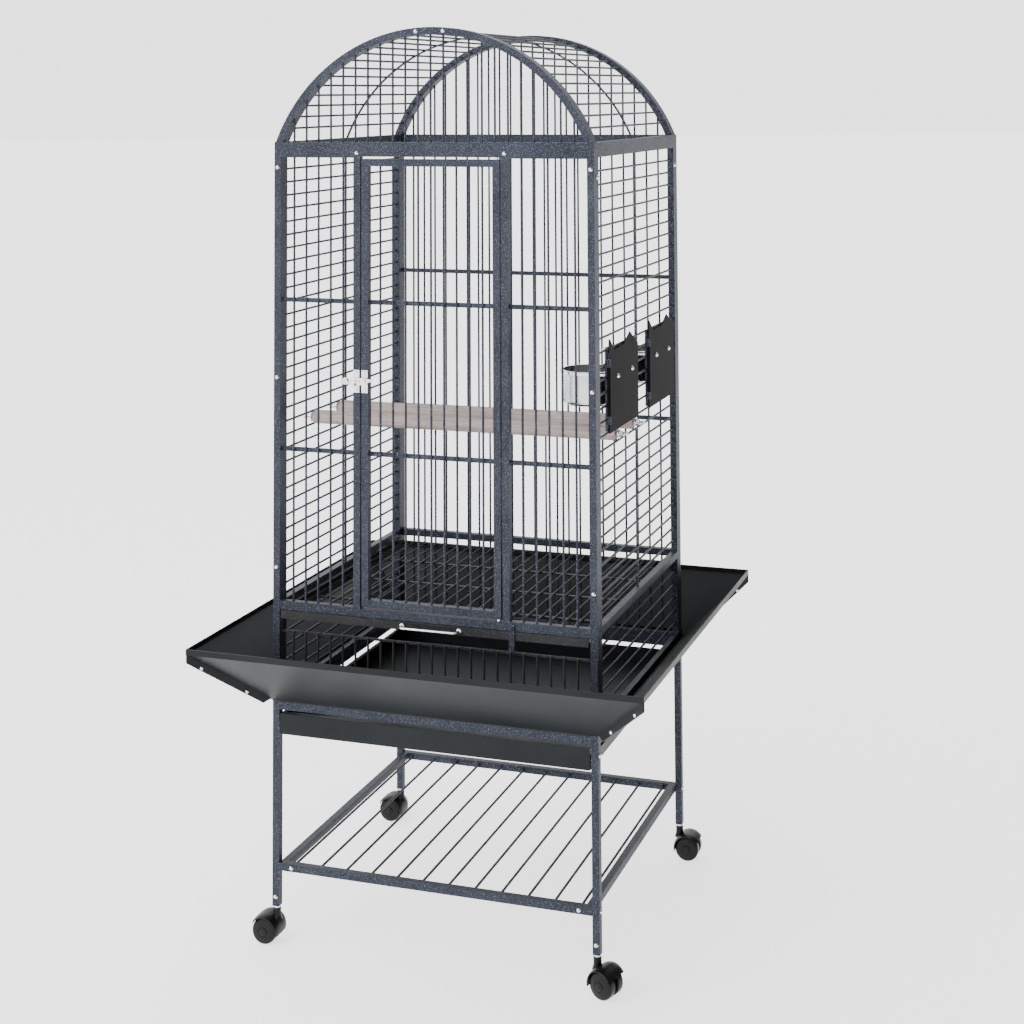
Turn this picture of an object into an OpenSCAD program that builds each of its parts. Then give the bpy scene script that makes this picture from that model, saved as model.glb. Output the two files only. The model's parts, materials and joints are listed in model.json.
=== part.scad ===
// Dome-top bird cage on a wheeled stand, in millimetres.
// Origin: on the floor under the middle of the cage. +X right, -Y front, +Z up.

/* [Cage] */
// Width of the cage over its corner tubes
cage_w = 610; // [500:5:740]
// Depth of the cage over its corner tubes
cage_d = 560; // [510:5:680]
// Height of the cage's upper walls, from sill to shoulder
wall_h = 796; // [640:4:960]
// Height of the cage's lower walls, under the sill
skirt_wall_h = 150; // [130:2:180]
// Rise of the dome above its shoulder
dome_rise = 211; // [170:1:250]
// Side of the square tube
tube = 13; // [11:0.5:16]
// Diameter of the wall wires
wire_d = 4; // [2.6:0.1:4.4]
// Distance between wall wires, rounded to fit each wall
wire_pitch = 24.3; // [20:0.1:30]
// Height of the flat crossbars that hold the front and rear wires
crossbar_h = 8; // [5:0.5:12]
// Height of the lower front crossbar above the sill
crossbar_low = 270; // [200:5:330]
// Height of the upper crossbar above the sill
crossbar_high = 537; // [440:5:620]
// Height of the lower rear crossbar above the sill
crossbar_rear = 256; // [220:2:400]

/* [Door] */
// Width of the main door
door_w = 263; // [210:1:320]
// Gap above and below the door
door_gap = 4; // [3:0.5:6]
// Clearance between the turning hinge stile and its post
hinge_clearance = 0.3; // [0.2:0.05:0.8]
// Diameter of the door's hinge pins
door_pin_d = 5; // [4:0.5:6]
// Height of the latch above the sill
latch_h = 398; // [300:2:480]

/* [Stand] */
// Height of the casters, from floor to leg
caster_h = 64; // [62:1:84]
// Length of the legs
leg_h = 356; // [290:2:430]
// Wall of the hollow legs
leg_wall = 1.2; // [1:0.1:2]
// Height of the shelf above the end of the legs
shelf_rise = 63; // [40:1:110]
// Number of wires in the shelf
shelf_wires = 12; // [6:1:18]
// Diameter of the shelf wires
shelf_wire_d = 4.6; // [3.6:0.1:6]

/* [Seed skirt] */
// How far the skirt reaches out from the cage
skirt_out = 112; // [80:1:140]
// Height of the skirt's slope
skirt_up = 102; // [80:1:124]
// Width of the turned-up rim of the skirt
skirt_rim = 10; // [6:0.5:14]
// Thickness of the skirt's sheet
sheet = 1.5; // [1:0.1:2]
// Height of the flange that fastens the skirt to the wall
skirt_flange = 16; // [12:1:24]

/* [Tray and grate] */
// Height of the tray's front face
tray_face_h = 36; // [26:1:44]
// Gap between the top of the tray's pan and the stand's rail
tray_gap = 6; // [4:1:16]
// Distance from the stand's rail down to the tray's runners
tray_drop = 38; // [34:1:60]
// Clearance on each side of the sliding tray and grate
slide_gap = 1.5; // [1:0.25:3]
// Height of the slot that the grate slides through
slot_h = 38; // [30:1:44]
// Height of the grate's front flange
grate_h = 16; // [12:1:20]
// Diameter of the grate's wires
grate_wire_d = 3.6; // [3:0.1:5]
// Width of the grate's pull handle
pull_w = 107; // [80:1:140]

/* [Feeders] */
// Width of a feeder door
feeder_w = 184; // [170:1:200]
// Height of a feeder door without its two points
feeder_h = 143; // [120:1:160]
// Height of the points on top of a feeder door
feeder_point = 20; // [10:1:26]
// Height of a feeder door's lower edge above the sill
feeder_rise = 314; // [280:2:400]
// Distance from the front of the cage to the middle of the first feeder door
feeder_front = 172; // [150:2:200]
// Distance from the back of the cage to the middle of the second feeder door
feeder_back = 130; // [126:1:170]
// Outer diameter of a bowl's body
bowl_d = 98; // [80:1:102]
// Height of a bowl
bowl_h = 62; // [40:1:70]
// Diameter of the pins of the feeder hinges
feeder_pin_d = 3; // [2.5:0.1:4]

/* [Perches] */
// Diameter of the perches
perch_d = 25; // [18:1:32]
// Height of the perches above the sill
perch_rise = 302; // [200:1:420]
// Distance from the front of the cage to the first perch
perch_front = 149; // [120:1:200]
// Distance between the two perches
perch_step = 109; // [60:1:200]

/* [Casters] */
// Diameter of the wheels
wheel_d = 46; // [40:1:52]
// Width of one wheel
wheel_w = 18; // [12:0.5:22]
// Distance from the stem to the wheels' axle
caster_trail = 18; // [12:0.5:24]
// Diameter of the stem
stem_d = 8; // [6:0.5:8.5]
// Length of the stem inside the leg
stem_in = 32; // [20:1:40]
// Radial clearance of the stem and the axle
run_fit = 0.05; // [0.02:0.01:0.1]

/* [Hidden] */

$fn = 48;
e = 0.01;
frame_colour = [0.21, 0.23, 0.28];
wire_colour = [0.27, 0.27, 0.27];
sheet_colour = [0.13, 0.14, 0.16];
chrome_colour = [0.75, 0.76, 0.78];
steel_colour = [0.70, 0.71, 0.72];
black_colour = [0.06, 0.06, 0.065];
wood_colour = [0.72, 0.67, 0.66];

// Overall half sizes, and the walls' inner faces
hw = cage_w / 2;
hd = cage_d / 2;
iw = hw - tube;
id = hd - tube;
wire_r = wire_d / 2;
weld = 2;                                   // how far a wire's end runs into a tube
bite = 0.5;                                 // how far crossing pieces are welded into each other
rest_gap = 0.3;                             // clearance under a piece that slides or lifts out

// Levels, from the floor up
leg_z = caster_h;
stand_z = leg_z + leg_h;                    // top of the stand, under the cage
shelf_z = leg_z + shelf_rise;
floor_rail_z = stand_z;                     // bottom rail of the cage walls
sill_z = stand_z + tube + skirt_wall_h;
wall_z = sill_z + tube;                     // bottom of the open wall
rail_z = wall_z + wall_h;                   // underside of the walls' top rail
arch_z = rail_z + tube;                     // underside of the arch's rail
shoulder_z = arch_z + tube / 2;             // where the arch leaves the corner
arch_r = (hw * hw + dome_rise * dome_rise) / (2 * dome_rise);
arch_c = shoulder_z + dome_rise - arch_r;   // height of the arch's centre
half_angle = asin(hw / arch_r);
top_z = shoulder_z + dome_rise;
crossbar_t = 3;
low_bar_z = wall_z + crossbar_low;
high_bar_z = wall_z + crossbar_high;
rear_bar_z = wall_z + crossbar_rear;

// Wires across a width between tubes, on one pitch for front, door, rear and arch
front_gaps = round(2 * iw / wire_pitch);
front_pitch = 2 * iw / front_gaps;
bar_xs = [for (i = [1 : front_gaps - 1]) -iw + i * front_pitch];
wall_gaps = round(wall_h / wire_pitch);
wall_pitch = wall_h / wall_gaps;
low_gaps = round(skirt_wall_h / wire_pitch);
low_pitch = skirt_wall_h / low_gaps;
side_wire_x = hw - tube / 2;                // middle of the wires in a side wall
front_wire_y = -hd + tube / 2;              // middle of the wires in the front wall

// Door
post_gap = tube * (sqrt(2) - 1) / 2 + hinge_clearance;
door_x = door_w / 2;
post_x = door_x + post_gap;                 // inner face of the door posts
door_z0 = wall_z + door_gap;
door_z1 = rail_z - door_gap;
hinge_x = door_x - tube / 2;
hinge_y = front_wire_y;
pin_reach = 16;                             // how deep a hinge pin goes in the door's stile
pin_root = 9;                               // how deep it goes in the frame
latch_z = wall_z + latch_h;
latch_x = -door_x + tube / 2;               // the lever's pivot, on the door's stile
keeper_x = -post_x - tube / 2;              // the keeper's stud, on the post
plate_w = tube - 1;
plate_h = 40;
plate_t = 1.5;
lever_t = 3;
lever_gap = 2;
lever_y = -hd - plate_t - lever_gap;        // back face of the lever
stud_r = 2.5;
lever_pin_r = 2.5;
lever_half = 6;
screw_r = 2.6;

// Tray and grate
slot_top = sill_z;
slot_bottom = sill_z - slot_h;
grate_z = slot_top - grate_h;               // underside of the grate's flange
runner_t = sheet;
runner_w = 14;
grate_x = iw - slide_gap - runner_t;
grate_bed = grate_z + 1;                    // underside of the grate's wires
grate_y1 = id - 4;
tray_x = iw - slide_gap - runner_t;
tray_bed = stand_z - tube - tray_drop;      // top of the tray's runners
tray_z = tray_bed + rest_gap;
tray_face_z = tray_bed - 4;
tray_y1 = id - 4;
pan_lip = 8;
tray_pan_h = tray_drop - rest_gap - tray_gap;

// Feeders
feeder_z = wall_z + feeder_rise;
feeder_ys = [-hd + feeder_front, hd - feeder_back];
port_bar = 5;                               // side of the bars around a feeder's opening
port_w = feeder_w - 18;
port_z0 = feeder_z + 8;
port_z1 = feeder_z + feeder_h - 6;
plate_x = hw - 1.5;                         // back face of a feeder door
feeder_t = 1.5;
knuckle_r = 3.5;
knuckle_h = 14;
feeder_axis_x = plate_x + feeder_t / 2;
bowl_r = bowl_d / 2;
ring_wire = 4;
ring_gap = 0.6;
ring_r = bowl_r + ring_gap + ring_wire / 2;
ring_z = feeder_z + 92;                     // middle of the ring's wire
bowl_rim = 4.4;                             // how far the bowl's rim stands out over the ring
bowl_wall = 1;
bowl_from_plate = ring_r + ring_wire / 2 + 12;
bowl_from_hinge = 99;
bowl_z = ring_z + ring_wire / 2 + rest_gap - bowl_h + bowl_wall;
ring_arm_inset = 6.6;                       // how far the ring's two arms stand in from its sides
ring_arm = ring_r - ring_arm_inset;

// Perches
perch_z = wall_z + perch_rise;
perch_ys = [-hd + perch_front, -hd + perch_front + perch_step];
perch_end = iw + tube / 2 - wire_r - 0.6;
perch_bolt_r = 3;
washer_r = 9.5;
washer_t = 1.5;
washer_x = side_wire_x + wire_r;

// Casters
wheel_r = wheel_d / 2;
hood_gap = 2;
hood_t = 2.5;
hood_r = wheel_r + hood_gap + hood_t;
web_w = 7;
wheel_gap = 0.5;
axle_r = 4;
caster_w = web_w + 2 * (wheel_gap + wheel_w);
boss_r = 7;
boss_z = caster_h - 3;
stem_z = wheel_d + 1;                       // lower end of the stem, above the wheels
corners = [[-1, -1], [1, -1], [-1, 1], [1, 1]];
trail_turn = [180, -20, 180, 0];            // where each caster has turned to, as parked

// ---------- Building blocks ----------

// A box between two opposite corners
module block(lo, hi) {
    translate(lo) cube(hi - lo);
}

// A wire along Z, X or Y
module wire_z(x, y, z0, z1, d = wire_d) {
    translate([x, y, z0]) cylinder(d = d, h = z1 - z0, $fn = 24);
}
module wire_x(y, z, x0, x1, d = wire_d) {
    translate([x0, y, z]) rotate([0, 90, 0]) cylinder(d = d, h = x1 - x0, $fn = 24);
}
module wire_y(x, z, y0, y1, d = wire_d) {
    translate([x, y0, z]) rotate([-90, 0, 0]) cylinder(d = d, h = y1 - y0, $fn = 24);
}

// A dome-headed bolt along +Z, its head resting on z = 0
module bolt(head_r = 4.2, shank_r = 2, shank = 9) {
    difference() {
        translate([0, 0, -1.2]) sphere(r = head_r + 0.2, $fn = 32);
        translate([0, 0, -10]) cube([20, 20, 20], center = true);
    }
    translate([0, 0, -shank]) cylinder(r = shank_r, h = shank + 1, $fn = 24);
}
module bolt_front(x, z, y = -hd) translate([x, y, z]) rotate([90, 0, 0]) bolt();
module bolt_rear(x, z, y = hd) translate([x, y, z]) rotate([-90, 0, 0]) bolt();
module bolt_side(side, y, z) translate([side * hw, y, z]) rotate([0, side * 90, 0]) bolt();

// ---------- Stand ----------

module leg(i) {
    c = corners[i];
    x0 = c[0] > 0 ? iw : -hw;
    y0 = c[1] > 0 ? id : -hd;
    color(frame_colour)
    difference() {
        block([x0, y0, leg_z], [x0 + tube, y0 + tube, stand_z]);
        block([x0 + leg_wall, y0 + leg_wall, leg_z - 1],
              [x0 + tube - leg_wall, y0 + tube - leg_wall, stand_z - leg_wall]);
    }
}

module stem_sockets() {
    half = tube / 2 - leg_wall;
    color(black_colour)
    for (c = corners)
        translate([c[0] * side_wire_x, c[1] * (hd - tube / 2), leg_z])
        difference() {
            translate([-half, -half, 0]) cube([2 * half, 2 * half, stem_in + 4]);
            translate([0, 0, -1]) cylinder(d = stem_d + 2 * run_fit, h = stem_in + 2);
        }
}

module shelf() {
    x1 = iw;
    z0 = shelf_z;
    pitch = 2 * iw / shelf_wires;
    color(frame_colour) {
        for (s = [-1, 1]) {
            block([-iw, s > 0 ? id : -hd, z0], [iw, s > 0 ? hd : -id, z0 + tube]);
            block([s > 0 ? iw - tube : -iw, -id - bite, z0],
                  [s > 0 ? iw : tube - iw, id + bite, z0 + tube]);
        }
        for (i = [0 : shelf_wires - 1])
            if (abs(-x1 + (i + 0.5) * pitch) < iw - tube - shelf_wire_d)
                wire_y(-x1 + (i + 0.5) * pitch, z0 + tube / 2, -id - weld, id + weld, shelf_wire_d);
    }
}

module stand_rail_front() {
    color(frame_colour) block([-iw, -hd, stand_z - tube], [iw, -id, stand_z]);
}
module stand_rail_rear() {
    color(frame_colour) block([-iw, id, stand_z - tube], [iw, hd, stand_z]);
}
module stand_rail_left() {
    color(frame_colour) block([-hw, -id, stand_z - tube], [-iw, id, stand_z]);
}
module stand_rail_right() {
    color(frame_colour) block([iw, -id, stand_z - tube], [hw, id, stand_z]);
}

// An angle strip on each side, its shelf's top at height z
module runners(z, y0, y1, lip) {
    color(sheet_colour)
    for (s = [-1, 1])
        scale([s, 1, 1])
        union() {
            block([iw - runner_w, y0, z - runner_t], [iw, y1, z]);
            block([iw - runner_t, y0, z - e], [iw, y1, z + lip]);
        }
}
module tray_runners() runners(tray_bed, -hd, hd, 16);
module grate_runners() runners(grate_bed - rest_gap, -id, id, 12);

// ---------- Seed skirt ----------

// Section of the skirt at right angles to a wall: flange, slope and rim
skirt_z = floor_rail_z + 2;
skirt_slope = skirt_up / skirt_out;
skirt_thick = sheet * sqrt(1 + skirt_slope * skirt_slope);      // thickness of the slope, upright
skirt_profile = [
    [0, skirt_z], [skirt_out, skirt_z + skirt_up],
    [skirt_out, skirt_z + skirt_up + skirt_rim],
    [skirt_out - sheet, skirt_z + skirt_up + skirt_rim],
    [skirt_out - sheet, skirt_z + skirt_up + skirt_thick - sheet * skirt_slope],
    [sheet, skirt_z + skirt_thick + sheet * skirt_slope],
    [sheet, skirt_z + skirt_flange], [0, skirt_z + skirt_flange]];

// One skirt sheet on a wall with half width w at distance d from the centre, facing -Y
module skirt(w, d) {
    reach = w + skirt_out + 5;
    seam = 0.1;
    corner = w - seam * sqrt(2);
    drop = 14;
    lift = 0.65 * skirt_thick;
    color(sheet_colour)
    union() {
        difference() {
            translate([-reach, -d, 0]) rotate([90, 0, 90]) mirror([1, 0, 0])
                linear_extrude(2 * reach) polygon(skirt_profile);
            for (s = [-1, 1])
                translate([s * corner, -d, 0]) rotate([0, 0, s > 0 ? -45 : 45])
                    translate([-2 * reach, 0, 0]) cube([4 * reach, 4 * reach, 2 * top_z]);
        }
        // Flanges folded down along the two mitred ends, bolted to the next sheet's
        for (s = [-1, 1])
            translate([s * corner, -d, 0]) rotate([0, 0, s > 0 ? -45 : -135])
                rotate([90, 0, 0]) translate([0, 0, s > 0 ? 0 : -sheet])
                    linear_extrude(sheet)
                    polygon([[4, skirt_z + 4 / sqrt(2) * skirt_slope + lift],
                             [skirt_out * sqrt(2) - 1, skirt_z + skirt_up + lift],
                             [skirt_out * sqrt(2) - 1, skirt_z + skirt_up - drop],
                             [drop + 4, skirt_z - 2]]);
    }
}
module skirt_front() skirt(hw, hd);
module skirt_rear() rotate([0, 0, 180]) skirt(hw, hd);
module skirt_left() rotate([0, 0, -90]) skirt(hd, hw);
module skirt_right() rotate([0, 0, 90]) skirt(hd, hw);

// ---------- Cage walls ----------

// Flat crossbar welded behind wires that stand at distance wire_y
module crossbar(x0, x1, z, wire_y) {
    inward = wire_y < 0 ? 1 : -1;
    y0 = wire_y + inward * (wire_r - bite);
    y1 = y0 + inward * crossbar_t;
    block([x0, min(y0, y1), z - crossbar_h / 2], [x1, max(y0, y1), z + crossbar_h / 2]);
}

// Fixed part of the front wall beside the door: stile, door post, wires and crossbars
module front_section(s) {
    color(frame_colour)
    scale([s, 1, 1])
    union() {
        block([iw, -hd, floor_rail_z], [hw, -id, rail_z]);
        block([post_x, -hd, wall_z], [post_x + tube, -id, rail_z]);
        block([post_x, -hd, wall_z], [iw + e, -id, wall_z + 2]);
        block([post_x, -hd, rail_z - 2], [iw + e, -id, rail_z]);
        for (x = bar_xs)
            if (x > post_x + tube + wire_d && x < iw - wire_d)
                wire_z(x, front_wire_y, wall_z + 1, rail_z - 1);
        for (z = [low_bar_z, high_bar_z])
            crossbar(post_x + tube - bite, iw + bite, z, front_wire_y);
    }
}
module front_left_section() front_section(-1);
module front_right_section() front_section(1);

module front_sill() {
    color(frame_colour)
    difference() {
        block([-iw, -hd, sill_z], [iw, -id, wall_z]);
        translate([hinge_x, hinge_y, wall_z - pin_root]) cylinder(d = door_pin_d, h = pin_root + 1);
    }
}

// Short wires under the grate's slot
module front_lower_grille() {
    color(wire_colour)
    union() {
        block([-iw, -hd, floor_rail_z], [iw, -id, floor_rail_z + tube]);
        block([-iw, front_wire_y + wire_r - bite, slot_bottom - 4],
              [iw, front_wire_y + wire_r - bite + crossbar_t, slot_bottom]);
        for (x = bar_xs)
            wire_z(x, front_wire_y, floor_rail_z + tube - weld, slot_bottom - e);
    }
}

module front_top_rail() {
    color(frame_colour)
    difference() {
        block([-hw, -hd, rail_z], [hw, -id, arch_z]);
        translate([hinge_x, hinge_y, rail_z - 1]) cylinder(d = door_pin_d, h = pin_root + 1);
    }
}

// Arched top of the front or rear wall, from y0 to y0 + tube
module arch(y0) {
    color(frame_colour)
    union() {
        block([-hw, y0, arch_z], [hw, y0 + tube, arch_z + tube]);
        intersection() {
            translate([0, y0 + tube, arch_c]) rotate([90, 0, 0])
                difference() {
                    cylinder(r = arch_r, h = tube, $fn = 180);
                    translate([0, 0, -1]) cylinder(r = arch_r - tube, h = tube + 2, $fn = 180);
                }
            block([-hw, y0 - 1, arch_z], [hw, y0 + tube + 1, top_z + 1]);
        }
        for (x = bar_xs) {
            top = arch_c + sqrt(pow(arch_r - tube, 2) - x * x);
            if (top > arch_z + tube + 2 * wire_d)
                wire_z(x, y0 + tube / 2, arch_z + tube - weld, top + weld);
        }
    }
}
module front_arch() arch(-hd);
module rear_arch() arch(id);

module rear_panel() {
    color(frame_colour)
    union() {
        for (s = [-1, 1])
            block([s > 0 ? iw : -hw, id, floor_rail_z], [s > 0 ? hw : -iw, hd, rail_z + e]);
        block([-hw, id, rail_z], [hw, hd, arch_z]);
        block([-iw - e, id, sill_z], [iw + e, hd, wall_z]);
        block([-iw - e, id, floor_rail_z], [iw + e, hd, floor_rail_z + tube]);
        for (x = bar_xs) {
            wire_z(x, -front_wire_y, wall_z - weld, rail_z + weld);
            wire_z(x, -front_wire_y, floor_rail_z + tube - weld, sill_z + weld);
        }
        for (z = [rear_bar_z, high_bar_z])
            crossbar(-iw - bite, iw + bite, z, -front_wire_y);
    }
}

// True where a side wire at height z would cross the feeder openings
function crosses_port(z) = z > port_z0 - wire_d && z < port_z1 + wire_d;

// The wires of a side wall between y0 and y1, skipping the feeder openings if ports is set
module side_wires(ports) {
    upper = [for (i = [1 : wall_gaps - 1]) wall_z + i * wall_pitch];
    lower = [for (i = [1 : low_gaps - 1]) floor_rail_z + tube + i * low_pitch];
    wire_end = id - tube + weld;
    for (z = concat(upper, lower))
        if (ports && crosses_port(z)) {
            half = port_w / 2 + port_bar;
            stops = [-wire_end, feeder_ys[0] - half + bite, feeder_ys[0] + half - bite,
                     feeder_ys[1] - half + bite, feeder_ys[1] + half - bite, wire_end];
            for (k = [0, 2, 4])
                if (stops[k + 1] - stops[k] > 2 * weld + wire_d)
                    wire_y(side_wire_x, z, stops[k], stops[k + 1]);
        } else
            wire_y(side_wire_x, z, -wire_end, wire_end);
}

module side_wall(ports) {
    union() {
        for (s = [-1, 1])
            block([iw, s > 0 ? id - tube : -id, floor_rail_z], [hw, s > 0 ? id : tube - id, rail_z + e]);
        block([iw, -id, rail_z], [hw, id, arch_z]);
        block([iw, -id + e, sill_z], [hw, id - e, wall_z]);
        block([iw, -id + e, floor_rail_z], [hw, id - e, floor_rail_z + tube]);
        side_wires(ports);
        // Flat upright that holds the wires half way along
        block([side_wire_x - wire_r + bite - crossbar_t, -2.5, wall_z - bite],
              [side_wire_x - wire_r + bite, 2.5, rail_z + bite]);
    }
}

// Square frame round a feeder's opening, with the hinge's two fixed knuckles
module feeder_port(y) {
    y0 = y - port_w / 2 - port_bar;
    y1 = y + port_w / 2 + port_bar;
    x0 = side_wire_x - port_bar / 2;
    x1 = side_wire_x + port_bar / 2;
    for (z = [port_z0 - port_bar, port_z1])
        block([x0, y0, z], [x1, y1, z + port_bar]);
    for (v = [y0, y1 - port_bar])
        block([x0, v, port_z0 - e], [x1, v + port_bar, port_z1 + e]);
}

// Fixed knuckles of a feeder's hinge, at the top and bottom of its front edge
module feeder_knuckles(y) {
    axis_y = y - feeder_w / 2;
    for (z = [port_z0 + 8, port_z1 - 8 - knuckle_h])
        difference() {
            union() {
                translate([feeder_axis_x, axis_y, z]) cylinder(r = knuckle_r, h = knuckle_h);
                block([side_wire_x, axis_y, z],
                      [feeder_axis_x, y - port_w / 2 - port_bar + 1, z + knuckle_h]);
            }
            translate([feeder_axis_x, axis_y, z - 1]) cylinder(d = feeder_pin_d, h = knuckle_h + 2);
        }
}

module left_panel() {
    color(frame_colour) mirror([1, 0, 0]) side_wall(false);
}
module right_panel() {
    color(frame_colour)
    union() {
        side_wall(true);
        for (y = feeder_ys) feeder_port(y);
        for (y = feeder_ys) feeder_knuckles(y);
    }
}

// ---------- Dome ----------

// Half of the dome, on the +X side, lying between the two arched walls
module dome_half() {
    wires = round((arch_r - tube / 2) * half_angle * PI / 180 / wire_pitch);
    step = half_angle / wires;
    mid_r = arch_r - tube / 2;
    split = 0.1;
    union() {
        // Arched end tubes, and the thin middle bow under the wires
        for (band = [[-id, tube, arch_r, tube], [id - tube, tube, arch_r, tube],
                     [-2.5, 5, mid_r - wire_r + bite, crossbar_t]])
            intersection() {
                translate([0, band[0] + band[1], arch_c]) rotate([90, 0, 0])
                    difference() {
                        cylinder(r = band[2], h = band[1], $fn = 180);
                        translate([0, 0, -1]) cylinder(r = band[2] - band[3], h = band[1] + 2, $fn = 180);
                    }
                block([split, -hd, arch_z + bite], [hw, hd, top_z + 1]);
            }
        block([iw, -id, arch_z], [hw, id, arch_z + tube]);
        for (i = [0 : wires - 2]) {
            a = (i + 0.5) * step;
            wire_y(mid_r * sin(a), arch_c + mid_r * cos(a), -id + tube - weld, id - tube + weld);
        }
    }
}
module dome_right() {
    color(frame_colour) dome_half();
}
module dome_left() {
    color(frame_colour) mirror([1, 0, 0]) dome_half();
}

// ---------- Bolts of the frame ----------

module frame_bolts() {
    shelf_mid = shelf_z + tube / 2;
    post_bolts = [rail_z - 20, latch_z, wall_z + 60];
    apex_x = 26;
    apex_z = arch_c + sqrt(pow(arch_r - tube / 2, 2) - apex_x * apex_x);
    shelf_x = iw - 24;
    flange_drop = 8;
    color(chrome_colour) {
        for (s = [-1, 1]) {
            // Corner posts to side walls
            for (z = post_bolts) {
                bolt_front(s * (hw - tube / 2), z);
                bolt_rear(s * (hw - tube / 2), z);
            }
            // Dome's ends to the arches, either side of the joint
            bolt_front(s * apex_x, apex_z);
            bolt_rear(s * apex_x, apex_z);
            // Over the door posts
            bolt_front(s * (post_x + tube / 2), rail_z + tube / 2);
            // Legs to the casters' sockets
            for (v = [-1, 1])
                translate([s * (hw - tube / 2), v * hd, leg_z + stem_in / 2])
                    rotate([-v * 90, 0, 0]) bolt(4.2, 2, leg_wall);
            // Shelf and stand rails to the legs
            bolt_front(s * shelf_x, shelf_mid);
            bolt_rear(s * shelf_x, shelf_mid);
            for (v = [-1, 1]) {
                bolt_side(s, v * (hd - tube / 2), shelf_mid);
                bolt_side(s, v * (hd - tube / 2), tray_bed + 20);
                bolt_side(s, v * (id - tube / 2), rail_z - 34);
            }
        }
        // Skirt's seams: two bolts through each pair of end flanges
        for (c = corners, along = [0.3, 0.82])
            translate([c[0] * (hw + along * skirt_out), c[1] * (hd + along * skirt_out),
                       skirt_z + along * skirt_up - flange_drop])
                rotate([0, 0, c[0] * c[1] > 0 ? 45 : -45]) rotate([90, 0, 0])
                translate([0, 0, sheet + 0.1]) bolt(3.6, 1.8, 2 * sheet + 2);
    }
}

// ---------- Door ----------

module door() {
    color(frame_colour)
    difference() {
        union() {
            for (s = [-1, 1])
                block([s > 0 ? door_x - tube : -door_x, -hd, door_z0],
                      [s > 0 ? door_x : tube - door_x, -id, door_z1]);
            for (z = [door_z0, door_z1 - tube])
                block([-door_x + e, -hd, z], [door_x - e, -id, z + tube]);
            for (x = bar_xs)
                if (abs(x) < door_x - tube - wire_d)
                    wire_z(x, front_wire_y, door_z0 + tube - weld, door_z1 - tube + weld);
            for (z = [low_bar_z, high_bar_z])
                crossbar(-door_x + tube - bite, door_x - tube + bite, z, front_wire_y);
        }
        for (z = [door_z0 - 1, door_z1 - pin_reach])
            translate([hinge_x, hinge_y, z]) cylinder(d = door_pin_d + 2 * run_fit, h = pin_reach + 1);
    }
}

module door_hinge_pins() {
    reach = pin_reach - 1;
    color(chrome_colour) {
        translate([hinge_x, hinge_y, wall_z - pin_root])
            cylinder(d = door_pin_d, h = pin_root + door_gap + reach);
        translate([hinge_x, hinge_y, wall_z]) difference() {
            cylinder(d = door_pin_d + 4, h = door_gap - 0.3);
            translate([0, 0, -1]) cylinder(d = door_pin_d - e, h = door_gap + 2);
        }
        translate([hinge_x, hinge_y, door_z1 - reach])
            cylinder(d = door_pin_d, h = pin_root + door_gap + reach);
    }
}

// Face plate with a screw at each end, its back on the tube's front face
module face_plate(x) {
    translate([x, -hd, latch_z]) {
        block([-plate_w / 2, -plate_t, -plate_h / 2], [plate_w / 2, 0, plate_h / 2]);
        for (s = [-1, 1])
            translate([0, -plate_t, s * (plate_h / 2 - 5)]) rotate([90, 0, 0])
                cylinder(r = screw_r, h = 1.6, $fn = 24);
    }
}

// Plate on the door's stile, with the lever's pivot
module latch_plate() {
    color(chrome_colour)
    union() {
        face_plate(latch_x);
        translate([latch_x, -hd - plate_t + bite, latch_z]) rotate([90, 0, 0])
            cylinder(r = lever_pin_r, h = lever_gap + lever_t + rest_gap + 2 * bite, $fn = 32);
        translate([latch_x, lever_y - lever_t - rest_gap, latch_z]) rotate([90, 0, 0])
            cylinder(r = lever_pin_r + 2, h = 2, $fn = 32);
    }
}

// Plate on the post, with the plain stud that the lever drops over
module latch_keeper() {
    color(chrome_colour)
    union() {
        face_plate(keeper_x);
        translate([keeper_x, -hd - plate_t + bite, latch_z]) rotate([90, 0, 0])
            cylinder(r = stud_r, h = lever_t + 5, $fn = 32);
    }
}

// Lever: pivot eye, hook over the stud, finger tab at the left and a short tail at the right
module latch_lever() {
    span = latch_x - keeper_x;
    slot = stud_r + 0.7;
    tab_x = -span - 24;
    color(chrome_colour)
    translate([latch_x, lever_y, latch_z]) rotate([90, 0, 0])
    difference() {
        union() {
            linear_extrude(lever_t) polygon([
                [tab_x + 6, -4], [-span - 8, -9], [-span + 7, -9], [-4, -5], [9, -5],
                [18, 1], [18, 5], [9, lever_half], [-span - 8, lever_half], [tab_x + 6, 4]]);
            translate([tab_x + 5, 0, 0]) cylinder(r = 6.5, h = lever_t + 3);
        }
        translate([0, 0, -1]) cylinder(r = lever_pin_r + run_fit, h = lever_t + 2);
        translate([-span, 0, -1]) cylinder(r = slot, h = lever_t + 2);
        // The hook's mouth follows the stud's path round the pivot
        intersection() {
            difference() {
                translate([0, 0, -1]) cylinder(r = span + slot, h = lever_t + 2, $fn = 96);
                translate([0, 0, -2]) cylinder(r = span - slot, h = lever_t + 4, $fn = 96);
            }
            translate([-2 * span, -2 * span, -1]) cube([2 * span, 2 * span, lever_t + 2]);
        }
    }
}

// ---------- Tray and grate ----------

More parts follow.
